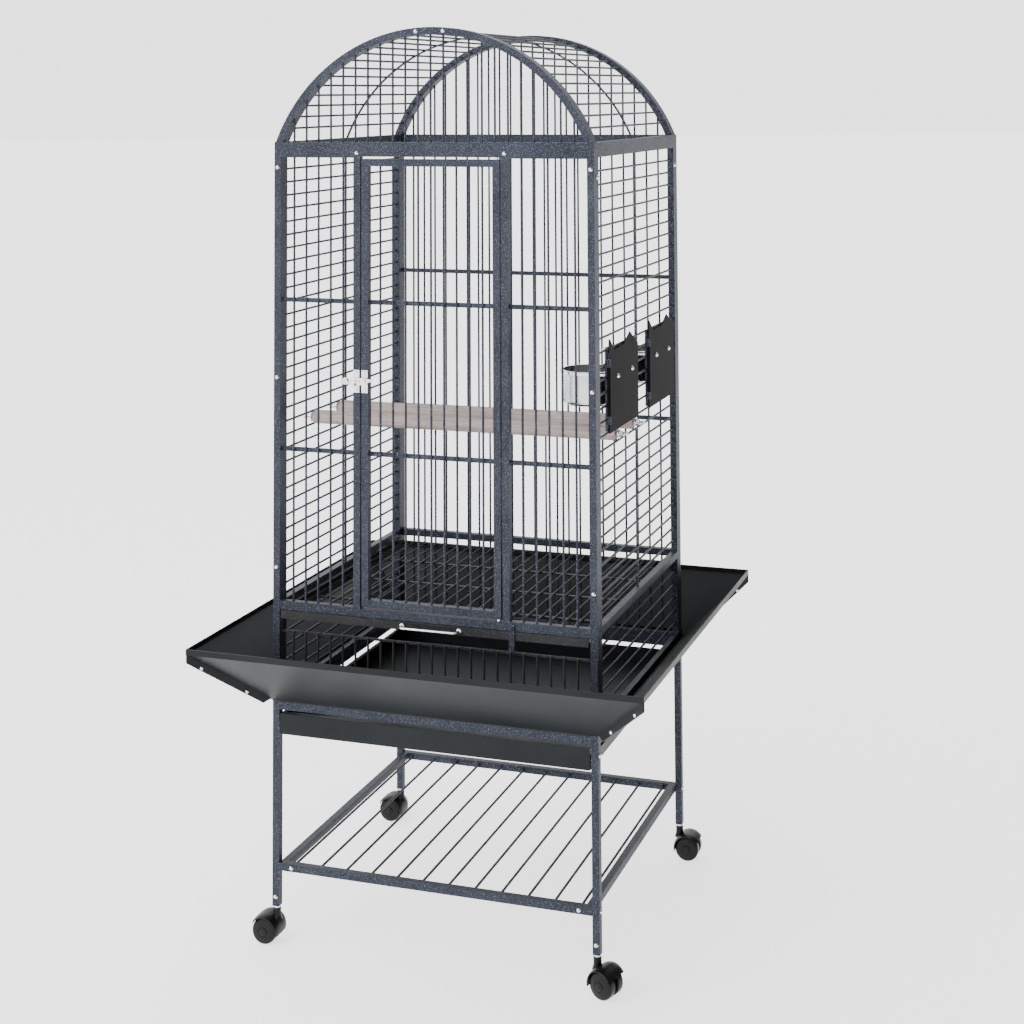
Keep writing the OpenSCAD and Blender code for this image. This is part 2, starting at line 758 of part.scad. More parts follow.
module tray() {
    y0 = -hd - sheet;
    color(sheet_colour)
    union() {
        block([-tray_x - 1, y0, tray_face_z], [tray_x + 1, -hd, tray_face_z + tray_face_h]);
        for (z = [tray_face_z, tray_face_z + tray_face_h - sheet])
            block([-tray_x - 1, -hd - e, z], [tray_x + 1, -hd + 9, z + sheet]);
        difference() {
            block([-tray_x, -hd - e, tray_z], [tray_x, tray_y1, tray_z + tray_pan_h]);
            block([-tray_x + sheet, -hd + sheet, tray_z + sheet],
                  [tray_x - sheet, tray_y1 - sheet, tray_z + tray_pan_h + 1]);
        }
        for (s = [-1, 1])
            block([s > 0 ? tray_x - pan_lip : -tray_x, -hd, tray_z + tray_pan_h - sheet],
                  [s > 0 ? tray_x : pan_lip - tray_x, tray_y1, tray_z + tray_pan_h]);
    }
}

module grate() {
    rod = grate_wire_d;
    support_h = 2.5;
    wz = grate_bed + support_h + rod / 2;
    gaps = round(2 * (grate_x - 4) / wire_pitch);
    pitch = 2 * (grate_x - 4) / gaps;
    color(wire_colour)
    union() {
        // Front flange, side bars and rear bar
        block([-grate_x, -hd - 1, grate_z + 0.5], [grate_x, -hd + 2, grate_z + grate_h - 1]);
        block([-grate_x, -hd - 1, grate_z + grate_h - 3], [grate_x, -hd + 10, grate_z + grate_h - 1]);
        for (s = [-1, 1])
            block([s > 0 ? grate_x - 8 : -grate_x, -hd + 1, grate_bed],
                  [s > 0 ? grate_x : 8 - grate_x, grate_y1, grate_bed + 6]);
        block([-grate_x + e, grate_y1 - 6, grate_bed], [grate_x - e, grate_y1 - e, grate_bed + 6]);
        // Cross supports under the wires
        for (t = [0.25, 0.5, 0.75])
            block([-grate_x + 4, -hd + t * (grate_y1 + hd) - 3, grate_bed],
                  [grate_x - 4, -hd + t * (grate_y1 + hd) + 3, wz - rod / 2 + bite]);
        for (i = [1 : gaps - 1])
            wire_y(-grate_x + 4 + i * pitch, wz, -hd + 1, grate_y1 - 2, rod);
    }
}

// Wire loop on the front of the grate
module grate_pull() {
    d = 5;
    z = grate_z + grate_h / 2 - 1;
    out = 14;
    y = -hd - 1;
    color(chrome_colour)
    union() {
        for (s = [-1, 1]) {
            wire_y(s * pull_w / 2, z, y - out, y, d);
            translate([s * pull_w / 2, y - out, z]) sphere(d = d, $fn = 24);
        }
        wire_x(y - out, z, -pull_w / 2, pull_w / 2, d);
    }
}

// Small tab that hides the end of the slot beside the door post
module grate_stop_tab() {
    x = post_x + tube + 4;
    z1 = sill_z + tube - 2;
    color(frame_colour)
    union() {
        block([x - 5, -hd - 3.2, slot_bottom + 3], [x + 5, -hd - 1, z1]);
        translate([x, -hd - 3.2, z1 - 6]) rotate([90, 0, 0]) bolt(4.2, 2, 0.5);
    }
}

// ---------- Feeders ----------

// Door with two points on top, hinged at its front edge
module feeder_door(y) {
    z0 = feeder_z;
    z1 = feeder_z + feeder_h;
    axis_y = y - feeder_w / 2;
    mid = [port_z0 + 8 + knuckle_h + 0.4, port_z1 - 8 - knuckle_h - 0.4];
    color(black_colour)
    difference() {
        union() {
            translate([plate_x, axis_y, 0]) rotate([90, 0, 90]) linear_extrude(feeder_t)
                polygon([[1, z0], [feeder_w, z0], [feeder_w, z1 - feeder_point * 0.45],
                         [feeder_w * 0.95, z1 - feeder_point * 0.35],
                         [feeder_w * 0.72, z1 + feeder_point * 0.85],
                         [feeder_w * 0.5, z1], [feeder_w * 0.18, z1 - 2],
                         [feeder_w * 0.03, z1 + feeder_point], [1, z1 + feeder_point * 0.8]]);
            translate([feeder_axis_x, axis_y, mid[0]]) cylinder(r = knuckle_r, h = mid[1] - mid[0]);
        }
        translate([feeder_axis_x, axis_y, mid[0] - 1])
            cylinder(d = feeder_pin_d + 2 * run_fit, h = mid[1] - mid[0] + 2);
        // Notches that clear the fixed knuckles
        for (z = [port_z0 + 8, port_z1 - 8 - knuckle_h])
            block([plate_x - 1, axis_y - 1, z - 0.4],
                  [plate_x + feeder_t + 1, axis_y + knuckle_r + 2.5, z + knuckle_h + 0.4]);
    }
}
module feeder_door_front() feeder_door(feeder_ys[0]);
module feeder_door_rear() feeder_door(feeder_ys[1]);

module feeder_hinge_pins() {
    color(steel_colour)
    for (y = feeder_ys)
        translate([feeder_axis_x, y - feeder_w / 2, port_z0 + 8])
            cylinder(d = feeder_pin_d, h = port_z1 - port_z0 - 16);
}

// Ring that holds a bowl, with two arms and the screws that hold it on the door
module feeder_ring(y) {
    cy = y - feeder_w / 2 + bowl_from_hinge;
    cx = plate_x - bowl_from_plate;
    half = ring_wire / 2;
    arm_x = cx + sqrt(ring_r * ring_r - ring_arm * ring_arm) - 1;
    color(chrome_colour)
    union() {
        translate([cx, cy, ring_z - half]) rotate_extrude($fn = 96)
            translate([ring_r - half, 0]) square(ring_wire);
        for (s = [-1, 1]) {
            v = cy + s * ring_arm;
            block([arm_x, v - half + 0.2, ring_z - half + 0.2],
                  [plate_x, v + half - 0.2, ring_z + half - 0.2]);
            translate([plate_x - 2, cy + s * ring_arm, ring_z]) rotate([0, 90, 0])
                cylinder(r = 5, h = 2, $fn = 24);
            translate([plate_x + feeder_t, cy + s * ring_arm, ring_z]) rotate([0, 90, 0])
                bolt(4.2, 1.9, feeder_t + bite);
        }
    }
}
module feeder_ring_front() feeder_ring(feeder_ys[0]);
module feeder_ring_rear() feeder_ring(feeder_ys[1]);

module bowl(y) {
    cy = y - feeder_w / 2 + bowl_from_hinge;
    cx = plate_x - bowl_from_plate;
    r = bowl_r;
    w = bowl_wall;
    h = bowl_h;
    corner = 10;
    arc = [for (a = [-90 : 15 : 0]) [r - corner + corner * cos(a), corner + corner * sin(a)]];
    inner = [for (a = [0 : -15 : -90])
             [r - corner + (corner - w) * cos(a), corner + (corner - w) * sin(a)]];
    color(steel_colour)
    translate([cx, cy, bowl_z]) rotate_extrude($fn = 96)
        polygon(concat([[0, 0]], arc, [[r, h - w], [r + bowl_rim, h - w], [r + bowl_rim, h],
                                       [r - w, h]], inner, [[0, w]]));
}
module bowl_front() bowl(feeder_ys[0]);
module bowl_rear() bowl(feeder_ys[1]);

// ---------- Perches ----------

module perch(y) {
    color(wood_colour)
    difference() {
        wire_x(y, perch_z, -perch_end, perch_end, perch_d);
        for (s = [-1, 1])
            translate([s * perch_end, y, perch_z]) rotate([0, -90 * s, 0])
                translate([0, 0, -1]) cylinder(r = perch_bolt_r, h = 31, $fn = 24);
    }
}
module perch_front_rod() perch(perch_ys[0]);
module perch_rear_rod() perch(perch_ys[1]);

// Bolt, washer and wing nut at each end of each perch
module perch_fixings() {
    color(chrome_colour)
    for (y = perch_ys, s = [-1, 1])
        translate([s * washer_x, y, perch_z]) rotate([0, s * 90, 0])
        union() {
            translate([0, 0, -tube / 2 - 24]) cylinder(r = perch_bolt_r, h = tube / 2 + 24 + 16, $fn = 24);
            translate([0, 0, 0]) cylinder(r = washer_r, h = washer_t, $fn = 48);
            translate([0, 0, washer_t - e]) cylinder(r = 5.5, h = 6, $fn = 32);
            for (w = [-1, 1])
                translate([0, w * 8.5, washer_t + 6]) rotate([0, 90, 0])
                    translate([0, 0, -1.2]) intersection() {
                        cylinder(r = 6.5, h = 2.4, $fn = 32);
                        translate([-6, -6.5, -1]) cube([12, 13, 5]);
                    }
        }
}

// ---------- Casters ----------

// Places a child at a caster's stem axis, turned the way the caster is parked
module at_caster(i) {
    c = corners[i];
    translate([c[0] * side_wire_x, c[1] * (hd - tube / 2), 0]) rotate([0, 0, trail_turn[i]])
        children();
}

// Hood over the twin wheels, with the web between them and the boss for the stem
module caster_body(i) {
    w = caster_w;
    color(black_colour)
    at_caster(i)
    difference() {
        union() {
            translate([caster_trail, w / 2, wheel_r]) rotate([90, 0, 0])
                cylinder(r = hood_r, h = w, $fn = 96);
            cylinder(r = boss_r, h = boss_z);
        }
        // Two wheel wells, leaving the web
        for (s = [-1, 1])
            translate([caster_trail, s > 0 ? w / 2 + 1 : -web_w / 2, wheel_r]) rotate([90, 0, 0])
                cylinder(r = wheel_r + hood_gap, h = w / 2 + 1 - web_w / 2, $fn = 96);
        // Open at the bottom and at the back
        translate([caster_trail - 60, -w, -60]) cube([120, 2 * w, 60 + wheel_r - 6]);
        translate([caster_trail + 4, -w, -1]) rotate([0, 25, 0]) cube([60, 2 * w, wheel_r + 20]);
        translate([caster_trail, w, wheel_r]) rotate([90, 0, 0]) cylinder(r = axle_r + run_fit, h = 2 * w);
        translate([0, 0, stem_z]) cylinder(d = stem_d, h = 60);
    }
}

module caster_stem(i) {
    color(steel_colour)
    at_caster(i)
    union() {
        translate([0, 0, stem_z]) cylinder(d = stem_d, h = leg_z + stem_in - stem_z);
        translate([0, 0, boss_z]) cylinder(d = stem_d + 4, h = caster_h - boss_z - 0.3);
    }
}

// Two wheels on one axle
module caster_wheels(i) {
    round_over = 3;
    hub_r = wheel_r * 0.62;
    color(black_colour)
    at_caster(i)
    translate([caster_trail, 0, wheel_r]) rotate([90, 0, 0])
    union() {
        for (s = [-1, 1])
            translate([0, 0, s > 0 ? web_w / 2 + wheel_gap : -web_w / 2 - wheel_gap])
            scale([1, 1, s])
            rotate_extrude($fn = 96)
            polygon([[0, 0], [wheel_r - round_over, 0], [wheel_r, round_over],
                     [wheel_r, wheel_w - round_over], [wheel_r - round_over, wheel_w],
                     [hub_r + 2, wheel_w], [hub_r, wheel_w - 2],
                     [8, wheel_w - 2], [6, wheel_w], [0, wheel_w]]);
        cylinder(r = axle_r, h = web_w + 2 * wheel_gap + 2, center = true);
    }
}

module leg_front_left() leg(0);
module leg_front_right() leg(1);
module leg_rear_left() leg(2);
module leg_rear_right() leg(3);
module caster_front_left() caster_body(0);
module caster_front_right() caster_body(1);
module caster_rear_left() caster_body(2);
module caster_rear_right() caster_body(3);
module stem_front_left() caster_stem(0);
module stem_front_right() caster_stem(1);
module stem_rear_left() caster_stem(2);
module stem_rear_right() caster_stem(3);
module wheels_front_left() caster_wheels(0);
module wheels_front_right() caster_wheels(1);
module wheels_rear_left() caster_wheels(2);
module wheels_rear_right() caster_wheels(3);

leg_front_left();
leg_front_right();
leg_rear_left();
leg_rear_right();
shelf();
stand_rail_front();
stand_rail_rear();
stand_rail_left();
stand_rail_right();
stem_sockets();
tray_runners();
grate_runners();
skirt_front();
skirt_rear();
skirt_left();
skirt_right();
front_left_section();
front_right_section();
front_sill();
front_lower_grille();
front_top_rail();
front_arch();
rear_panel();
rear_arch();
left_panel();
right_panel();
dome_left();
dome_right();
frame_bolts();
door();
door_hinge_pins();
latch_plate();
latch_lever();
latch_keeper();
tray();
grate();
grate_pull();
grate_stop_tab();
feeder_door_front();
feeder_door_rear();
feeder_ring_front();
feeder_ring_rear();
bowl_front();
bowl_rear();
feeder_hinge_pins();
perch_front_rod();
perch_rear_rod();
perch_fixings();
caster_front_left();
caster_front_right();
caster_rear_left();
caster_rear_right();
stem_front_left();
stem_front_right();
stem_rear_left();
stem_rear_right();
wheels_front_left();
wheels_front_right();
wheels_rear_left();
wheels_rear_right();
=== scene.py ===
"""Looks for the dome-top bird cage: materials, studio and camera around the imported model. Metres."""

import json
import math

import bmesh
import bpy
from mathutils import Matrix, Vector


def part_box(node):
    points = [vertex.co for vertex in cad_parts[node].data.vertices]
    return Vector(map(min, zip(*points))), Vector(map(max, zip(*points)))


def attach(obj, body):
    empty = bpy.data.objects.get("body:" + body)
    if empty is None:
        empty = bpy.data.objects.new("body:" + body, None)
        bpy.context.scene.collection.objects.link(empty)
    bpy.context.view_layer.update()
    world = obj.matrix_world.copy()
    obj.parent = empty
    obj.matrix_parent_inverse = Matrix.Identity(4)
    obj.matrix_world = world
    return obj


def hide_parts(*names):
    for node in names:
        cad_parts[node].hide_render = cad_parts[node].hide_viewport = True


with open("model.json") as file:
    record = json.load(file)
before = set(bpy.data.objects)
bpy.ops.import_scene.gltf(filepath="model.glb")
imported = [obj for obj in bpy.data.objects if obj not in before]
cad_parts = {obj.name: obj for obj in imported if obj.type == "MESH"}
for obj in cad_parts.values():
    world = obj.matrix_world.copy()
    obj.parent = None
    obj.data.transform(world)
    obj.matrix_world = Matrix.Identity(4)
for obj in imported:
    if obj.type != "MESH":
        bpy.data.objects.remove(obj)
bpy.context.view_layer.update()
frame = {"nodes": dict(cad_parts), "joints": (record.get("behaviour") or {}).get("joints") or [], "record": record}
NODES = frame["nodes"]
SLOT_OF = {row["node"]: row["material_slot"] for row in frame["record"]["subparts"]}

# ---------- Camera ----------

IMAGE = 1024
CAMERA_PLACE = (1.2, -3.146, 1.504)
CAMERA_YAW = 0.3161
CAMERA_PITCH = 0.0581
CAMERA_ROLL = 0.0069
FOCAL = 1744.4
AXIS_X = 569.3
AXIS_Y = -8.8
SENSOR = 36.0
NEAR_CLIP, FAR_CLIP = 0.05, 60


def make_camera():
    data = bpy.data.cameras.new("camera")
    camera = bpy.data.objects.new("camera", data)
    bpy.context.scene.collection.objects.link(camera)
    forward = Vector((
        -math.sin(CAMERA_YAW) * math.cos(CAMERA_PITCH),
        math.cos(CAMERA_YAW) * math.cos(CAMERA_PITCH),
        math.sin(CAMERA_PITCH),
    ))
    right = Vector((math.cos(CAMERA_YAW), math.sin(CAMERA_YAW), 0))
    up = right.cross(forward)
    turn = Matrix((right, up, -forward)).transposed().to_4x4()
    roll = Matrix.Rotation(-CAMERA_ROLL, 4, "Z")
    camera.matrix_world = Matrix.Translation(CAMERA_PLACE) @ turn @ roll
    data.sensor_width = SENSOR
    data.lens = FOCAL * SENSOR / IMAGE
    data.shift_x = (IMAGE / 2 - AXIS_X) / IMAGE
    data.shift_y = (AXIS_Y - IMAGE / 2) / IMAGE
    data.clip_start, data.clip_end = NEAR_CLIP, FAR_CLIP
    bpy.context.scene.camera = camera


# ---------- Material building blocks ----------

BLACK, WHITE = (0, 0, 0), (1, 1, 1)
NOISE_LOW, NOISE_HIGH = 0.3, 0.7


class Shader:
    """A Principled material with a few short ways to feed its sockets."""

    def __init__(self, name, **fixed):
        self.material = bpy.data.materials.new(name)
        self.material.use_nodes = True
        self.tree = self.material.node_tree
        self.surface = self.tree.nodes["Principled BSDF"]
        for socket, value in fixed.items():
            self.surface.inputs[socket.replace("_", " ")].default_value = value
        self.place = self.tree.nodes.new("ShaderNodeTexCoord").outputs["Object"]

    def add(self, kind, links=None, **settings):
        node = self.tree.nodes.new(kind)
        for name, value in settings.items():
            if hasattr(node, name):
                setattr(node, name, value)
            else:
                node.inputs[name.replace("_", " ")].default_value = value
        for socket, source in (links or {}).items():
            self.tree.links.new(source, node.inputs[socket])
        return node

    def stretched(self, scale):
        return self.add("ShaderNodeMapping", {"Vector": self.place}, Scale=scale).outputs["Vector"]

    def noise(self, scale, detail=4.0, roughness=0.55, vector=None):
        node = self.add("ShaderNodeTexNoise", {"Vector": vector or self.place},
                        Scale=scale, Detail=detail, Roughness=roughness)
        return node.outputs["Fac"]

    def cells(self, scale, randomness=1.0, feature="F1"):
        node = self.add("ShaderNodeTexVoronoi", {"Vector": self.place}, feature=feature,
                        Scale=scale, Randomness=randomness)
        return node.outputs["Distance"]

    def ramp(self, source, stops):
        node = self.add("ShaderNodeValToRGB", {"Fac": source})
        ramp = node.color_ramp
        while len(ramp.elements) < len(stops):
            ramp.elements.new(0.5)
        for element, (position, colour) in zip(ramp.elements, stops):
            element.position = position
            element.color = (*colour, 1)
        return node.outputs["Color"]

    def span(self, source, low, high):
        """Brings the usual range of a noise to low..high."""
        node = self.add("ShaderNodeMapRange", {"Value": source})
        limits = {"From Min": NOISE_LOW, "From Max": NOISE_HIGH, "To Min": low, "To Max": high}
        for name, value in limits.items():
            node.inputs[name].default_value = value
        return node.outputs["Result"]

    def mix(self, factor, a, b, mode="MIX"):
        node = self.add("ShaderNodeMix", data_type="RGBA", blend_type=mode)
        for name, value in (("Factor", factor), ("A", a), ("B", b)):
            kind = "VALUE" if name == "Factor" else "RGBA"
            socket = next(s for s in node.inputs if s.name == name and s.type == kind)
            if isinstance(value, bpy.types.NodeSocket):
                self.tree.links.new(value, socket)
            else:
                socket.default_value = value if name == "Factor" else (*value, 1)
        return next(s for s in node.outputs if s.type == "RGBA")

    def colour(self, source):
        self.tree.links.new(source, self.surface.inputs["Base Color"])

    def rough(self, source):
        self.tree.links.new(source, self.surface.inputs["Roughness"])

    def bump(self, *layers):
        """Each layer is (height, strength, distance); they are added one on another."""
        normal = None
        for height, strength, distance in layers:
            links = {"Height": height}
            if normal:
                links["Normal"] = normal
            node = self.add("ShaderNodeBump", links, Strength=strength, Distance=distance)
            normal = node.outputs["Normal"]
        self.tree.links.new(normal, self.surface.inputs["Normal"])


def hammertone():
    """Dark blue-grey powder coat with fine pale speckle and a dimpled skin."""
    s = Shader("hammertone_coat", Specular_IOR_Level=0.09)
    speckle = s.cells(420)
    cloud = s.noise(900, 3)
    patch = s.noise(14, 3)
    base = s.ramp(patch, [(NOISE_LOW, (0.016, 0.019, 0.028)), (NOISE_HIGH, (0.028, 0.032, 0.045))])
    pale = s.ramp(cloud, [(0.48, BLACK), (0.66, WHITE)])
    dots = s.ramp(speckle, [(0.12, WHITE), (0.46, BLACK)])
    spots = s.mix(1.0, pale, dots, "MULTIPLY")
    s.colour(s.mix(spots, base, (0.30, 0.33, 0.40)))
    s.rough(s.span(cloud, 0.36, 0.56))
    s.bump((speckle, 0.35, 0.0005), (cloud, 0.2, 0.0003))
    return s.material


def wire_coat():
    """Thinner dark grey coat on the wires."""
    s = Shader("wire_coat", Specular_IOR_Level=0.08)
    grain = s.noise(700, 3)
    patch = s.noise(9, 2)
    base = s.ramp(patch, [(NOISE_LOW, (0.016, 0.016, 0.018)), (NOISE_HIGH, (0.030, 0.030, 0.032))])
    flecks = s.ramp(grain, [(0.55, BLACK), (0.75, (0.5, 0.5, 0.5))])
    s.colour(s.mix(flecks, base, (0.16, 0.16, 0.17)))
    s.rough(s.span(grain, 0.38, 0.54))
    s.bump((grain, 0.15, 0.0002))
    return s.material


def sheet_coat():
    """Dark charcoal satin coat with faint orange peel and fine pale specks."""
    s = Shader("sheet_coat", Specular_IOR_Level=0.12)
    peel = s.noise(260, 2)
    grain = s.noise(1100, 2)
    patch = s.noise(5, 3)
    base = s.ramp(patch, [(NOISE_LOW, (0.006, 0.0075, 0.0085)), (NOISE_HIGH, (0.011, 0.013, 0.015))])
    flecks = s.ramp(grain, [(0.6, BLACK), (0.78, (0.3, 0.3, 0.3))])
    s.colour(s.mix(flecks, base, (0.07, 0.08, 0.09)))
    s.rough(s.span(patch, 0.34, 0.48))
    s.bump((peel, 0.12, 0.0006), (grain, 0.08, 0.0002))
    return s.material


def black_texture_coat():
    """Black coat of the feeder doors."""
    s = Shader("black_texture_coat", Specular_IOR_Level=0.02)
    grain = s.noise(800, 3)
    patch = s.noise(12, 2)
    s.colour(s.ramp(patch, [(NOISE_LOW, (0.003, 0.003, 0.0035)), (NOISE_HIGH, (0.006, 0.006, 0.007))]))
    s.rough(s.span(grain, 0.48, 0.64))
    s.bump((grain, 0.3, 0.0003))
    return s.material


def plated(name, colour, low, high, scale):
    """Bright plated metal with a slight unevenness."""
    s = Shader(name, Metallic=1.0)
    haze = s.noise(scale, 3)
    fine = s.noise(scale * 6, 2)
    darker = tuple(c * 0.82 for c in colour)
    s.colour(s.ramp(haze, [(0.35, darker), (0.6, colour)]))
    s.rough(s.span(haze, low, high))
    s.bump((fine, 0.06, 0.0002))
    return s.material


def spun_steel():
    """Stainless steel spun in a lathe: fine rings round the bowl."""
    s = Shader("spun_steel", Metallic=1.0, Anisotropic=0.4)
    rings = s.noise(60, 3, vector=s.stretched((1, 1, 28)))
    haze = s.noise(25, 3)
    s.colour(s.ramp(haze, [(NOISE_LOW, (0.55, 0.56, 0.58)), (NOISE_HIGH, (0.72, 0.73, 0.74))]))
    s.rough(s.span(rings, 0.12, 0.26))
    s.bump((rings, 0.08, 0.0002))
    return s.material


def perch_wood():
    """Pale grey-pink hardwood with long grain along X."""
    s = Shader("perch_wood", Specular_IOR_Level=0.35)
    along = s.stretched((1.2, 38, 38))
    grain = s.noise(8, 8, 0.62, along)
    fibres = s.noise(30, 5, 0.6, s.stretched((2, 90, 90)))
    stain = s.noise(3.5, 3)
    tone = s.ramp(grain, [(0.30, (0.30, 0.235, 0.215)), (0.52, (0.46, 0.385, 0.36)),
                          (0.75, (0.56, 0.49, 0.465))])
    dark = s.ramp(fibres, [(0.38, (0.62, 0.57, 0.55)), (0.55, WHITE)])
    grey = s.ramp(stain, [(0.35, (0.86, 0.86, 0.88)), (0.65, WHITE)])
    s.colour(s.mix(1.0, s.mix(1.0, tone, dark, "MULTIPLY"), grey, "MULTIPLY"))
    s.rough(s.span(grain, 0.55, 0.75))
    s.bump((grain, 0.25, 0.0006), (fibres, 0.2, 0.0003))
    return s.material


def moulded(name, colour, low, high):
    """Black moulded plastic with a faint grain."""
    s = Shader(name, Specular_IOR_Level=0.16)
    grain = s.noise(1200, 2)
    haze = s.noise(30, 3)
    lighter = tuple(c * 1.9 for c in colour)
    s.colour(s.ramp(haze, [(0.35, colour), (0.7, lighter)]))
    s.rough(s.span(haze, low, high))
    s.bump((grain, 0.12, 0.0002))
    return s.material


def make_materials():
    return {
        "frame": hammertone(),
        "wire": wire_coat(),
        "sheet": sheet_coat(),
        "feeder_plate": black_texture_coat(),
        "chrome": plated("bright_chrome", (0.80, 0.81, 0.83), 0.06, 0.14, 60),
        "zinc": plated("bright_zinc", (0.72, 0.73, 0.75), 0.18, 0.32, 90),
        "stainless": spun_steel(),
        "perch_wood": perch_wood(),
        "caster_plastic": moulded("caster_plastic", (0.003, 0.003, 0.0034), 0.3, 0.42),
        "wheel_plastic": moulded("wheel_plastic", (0.003, 0.003, 0.0034), 0.24, 0.36),
    }


def dress(obj, material):
    obj.data.materials.clear()
    obj.data.materials.append(material)


# ---------- Mesh building blocks ----------

ROUND_STEPS = 64
TUBE_SIDES = 20


def piece_from(name, mesh, body, slot, *nodes, smooth_angle=35):
    """Makes a shown piece of a bmesh, riding on a body and standing for its CAD nodes."""
    bmesh.ops.remove_doubles(mesh, verts=mesh.verts, dist=1e-6)
    bmesh.ops.recalc_face_normals(mesh, faces=mesh.faces)
    data = bpy.data.meshes.new(name)
    mesh.to_mesh(data)
    mesh.free()
    data.shade_smooth()
    data.set_sharp_from_angle(angle=math.radians(smooth_angle))
    piece = bpy.data.objects.new(name, data)
    bpy.context.scene.collection.objects.link(piece)
    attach(piece, body)
    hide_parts(*nodes)
    dress(piece, MATERIALS[slot])
    return piece


def axes_along(direction):
    """Two unit vectors at right angles to a direction and to each other."""
    along = Vector(direction).normalized()
    side = along.orthogonal().normalized()
    return along, side, along.cross(side)


def loft(mesh, rings, closed=False, capped=True):
    """Skins rings of points, each with the same number of points."""
    rows = [[mesh.verts.new(point) for point in ring] for ring in rings]
    count = len(rows[0])
    pairs = list(zip(rows, rows[1:])) + ([(rows[-1], rows[0])] if closed else [])
    for near, far in pairs:
        for k in range(count):
            n = (k + 1) % count
            mesh.faces.new((near[k], near[n], far[n], far[k]))
    if capped and not closed:
        mesh.faces.new(rows[0])
        mesh.faces.new(rows[-1])


def lathe(mesh, profile, origin, direction, steps=ROUND_STEPS):
    """Turns (radius, distance along the axis) points about an axis; no radius is zero."""
    along, side, other = axes_along(direction)
    loft(mesh, [[Vector(origin) + along * place + (side * math.cos(a) + other * math.sin(a)) * radius
                 for a in (math.tau * k / steps for k in range(steps))]
                for radius, place in profile])


def tube(mesh, path, radius, sides=TUBE_SIDES):
    """Round bar along a path of points."""
    rings = []
    _, side, _ = axes_along(path[1] - path[0])
    for i, point in enumerate(path):
        before, after = path[max(i - 1, 0)], path[min(i + 1, len(path) - 1)]
        along = (after - before).normalized()
        side = (side - along * side.dot(along)).normalized()
        other = along.cross(side)
        rings.append([point + (side * math.cos(a) + other * math.sin(a)) * radius
                      for a in (math.tau * k / sides for k in range(sides))])
    loft(mesh, rings)


def plate(mesh, outline, holes, to_space, low, high):
    """Flat plate with holes: outlines in a plane, raised from low to high by to_space(u, v, w)."""
    flat = bmesh.new()
    for loop in [outline, *holes]:
        verts = [flat.verts.new((u, v, 0)) for u, v in loop]
        for k, vert in enumerate(verts):
            flat.edges.new((vert, verts[(k + 1) % len(verts)]))
    bmesh.ops.triangle_fill(flat, use_beauty=True, use_dissolve=False, edges=flat.edges)
    top = [[mesh.verts.new(to_space(v.co.x, v.co.y, w)) for v in flat.verts] for w in (low, high)]
    flat.verts.index_update()
    for face in flat.faces:
        for level in top:
            mesh.faces.new([level[v.index] for v in face.verts])
    for edge in flat.edges:
        if len(edge.link_faces) == 1:
            a, b = (v.index for v in edge.verts)
            mesh.faces.new((top[0][a], top[0][b], top[1][b], top[1][a]))
    flat.free()


def arc(centre, radius, start, end, steps):
    """Points of an arc in a plane, from start to end in degrees."""
    return [(centre[0] + radius * math.cos(math.radians(a)), centre[1] + radius * math.sin(math.radians(a)))
            for a in (start + (end - start) * k / steps for k in range(steps + 1))]


def ring(radius, steps=16):
    """Outline of a round hole about the origin."""
    return arc((0, 0), radius, 0, 360 - 360 / steps, steps - 1)


def soften(piece, width):
    """Bevels the sharp edges of a piece."""
    bevel = piece.modifiers.new("edges", "BEVEL")
    bevel.width = width
    bevel.segments = 2
    bevel.limit_method = "ANGLE"


# ---------- Casters ----------

MM = 0.001
HOOD_OVER_WHEEL = 4.5 * MM
HOOD_THICK = 2.5 * MM
HOOD_CROWN = 2.6 * MM
HOOD_START, HOOD_END = 35, 192
WEB_HALF = 3.5 * MM
WHEEL_GAP = 0.5 * MM
AXLE_RADIUS = 3.9 * MM
BORE_RADIUS = 4.05 * MM
BOSS_RADIUS = 7 * MM
STEM_BORE = 4.1 * MM
ACROSS_STEPS = 14
AROUND_STEPS = 40
SHOULDER_STEPS = 10
HUB_SHARE, CAP_SHARE, SHOULDER_SHARE = 0.3, 0.36, 0.24
RIM_BEVEL = 1.5 * MM
FACE_DEPTH = 2.6 * MM
FACE_CROWN = 1.5 * MM


def wheel_profile(radius, inner, outer):
    """One moulded wheel from its inner face to its domed outer face, as (radius, distance)."""
    cap = CAP_SHARE * radius
    shoulder = SHOULDER_SHARE * radius
    face = outer - FACE_DEPTH
    points = [(HUB_SHARE * radius, inner), (radius - RIM_BEVEL, inner), (radius, inner + RIM_BEVEL)]
    points += [(radius - shoulder * (1 - math.cos(a)), face - shoulder * (1 - math.sin(a)))
               for a in (math.radians(90 * k / SHOULDER_STEPS) for k in range(SHOULDER_STEPS + 1))]
    points += [(radius - shoulder - t * (radius - shoulder - cap),
                face + FACE_CROWN * math.sin(t * math.pi / 2)) for t in (0.25, 0.5, 0.75, 1)]
    points += [(cap - 0.3 * MM, outer - 2.0 * MM), (cap - 0.9 * MM, outer - 2.0 * MM),
               (cap - 1.2 * MM, outer - 0.9 * MM), (cap - 2.2 * MM, outer - 0.3 * MM),
               (0.6 * cap, outer), (0.1 * MM, outer)]
    return points


